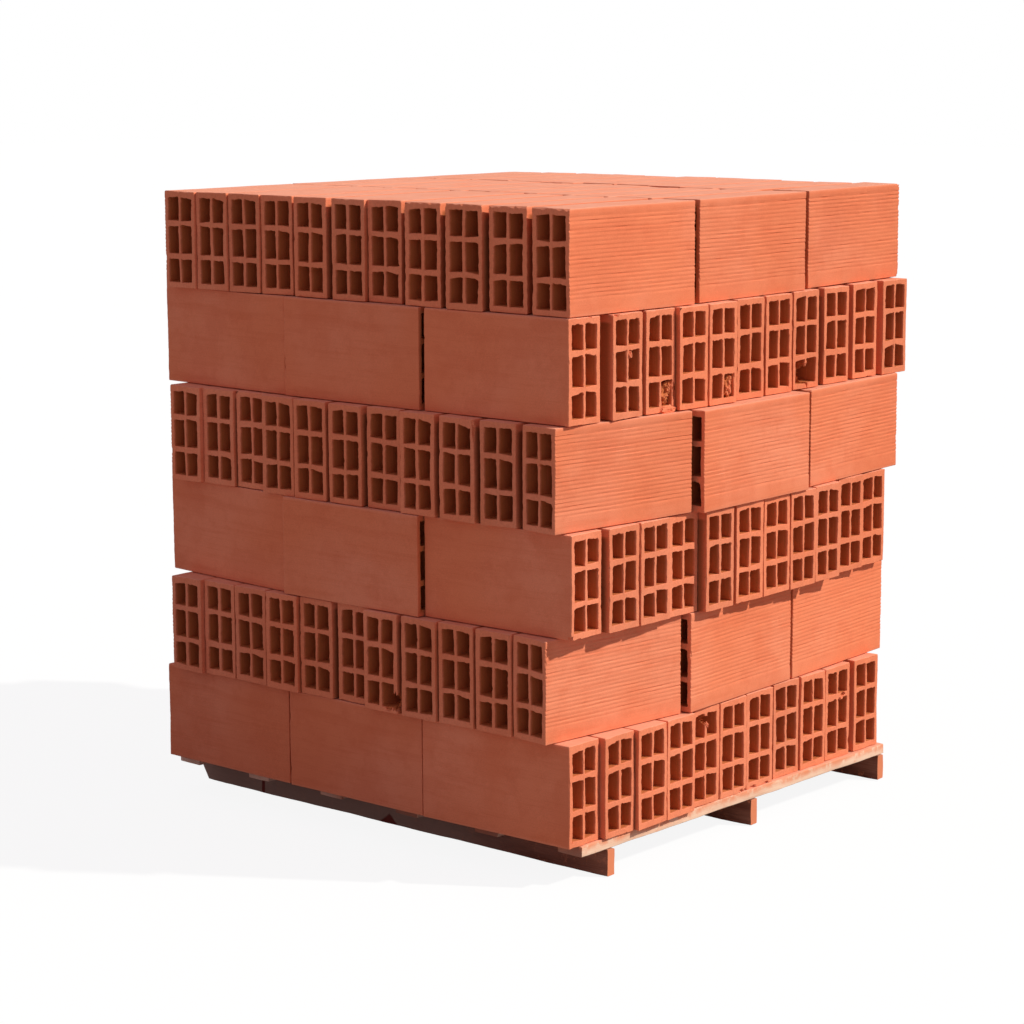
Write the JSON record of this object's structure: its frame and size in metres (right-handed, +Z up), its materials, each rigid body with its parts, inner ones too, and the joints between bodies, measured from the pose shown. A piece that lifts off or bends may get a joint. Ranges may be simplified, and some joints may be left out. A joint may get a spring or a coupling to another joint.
{
  "type": "pallet of bricks",
  "caption": "Crossed courses of hollow clay bricks stacked by hand on a light wooden pallet of boards on runners.",
  "frame": {"origin": "middle of the load's outline, on the ground under the runners", "axes": "+Z up; -Y the shaded side of the picture, along whose foot a runner shows; +X the sunlit side, where forks go in"},
  "size_m": [1.0684, 1.0646, 1.15],
  "materials": {
    "fired_clay": "matte",
    "deck_wood": "rough",
    "runner_wood": "rough"
  },
  "bodies": {
    "root": {"course_1_core": "fired_clay", "course_1_front_rank": "fired_clay", "course_1_middle_rank": "fired_clay", "course_1_rear_rank": "fired_clay", "course_2_core": "fired_clay", "course_2_front_rank": "fired_clay", "course_2_middle_rank": "fired_clay", "course_2_rear_rank": "fired_clay", "course_3_core": "fired_clay", "course_3_front_rank": "fired_clay", "course_3_middle_rank": "fired_clay", "course_3_rear_rank": "fired_clay", "course_4_core": "fired_clay", "course_4_front_rank": "fired_clay", "course_4_middle_rank": "fired_clay", "course_4_rear_rank": "fired_clay", "course_5_core": "fired_clay", "course_5_front_rank": "fired_clay", "course_5_middle_rank": "fired_clay", "course_5_rear_rank": "fired_clay", "course_6_core": "fired_clay", "course_6_front_brick_2": "fired_clay", "course_6_front_brick_3": "fired_clay", "course_6_front_rank": "fired_clay", "course_6_middle_rank": "fired_clay", "course_6_rear_rank": "fired_clay", "deck_board_1": "deck_wood", "deck_board_2": "deck_wood", "deck_board_3": "deck_wood", "deck_board_4": "deck_wood", "deck_board_5": "deck_wood", "deck_board_6": "deck_wood", "far_runner": "runner_wood", "middle_runner": "runner_wood", "near_runner": "runner_wood"}
  },
  "joints": []
}
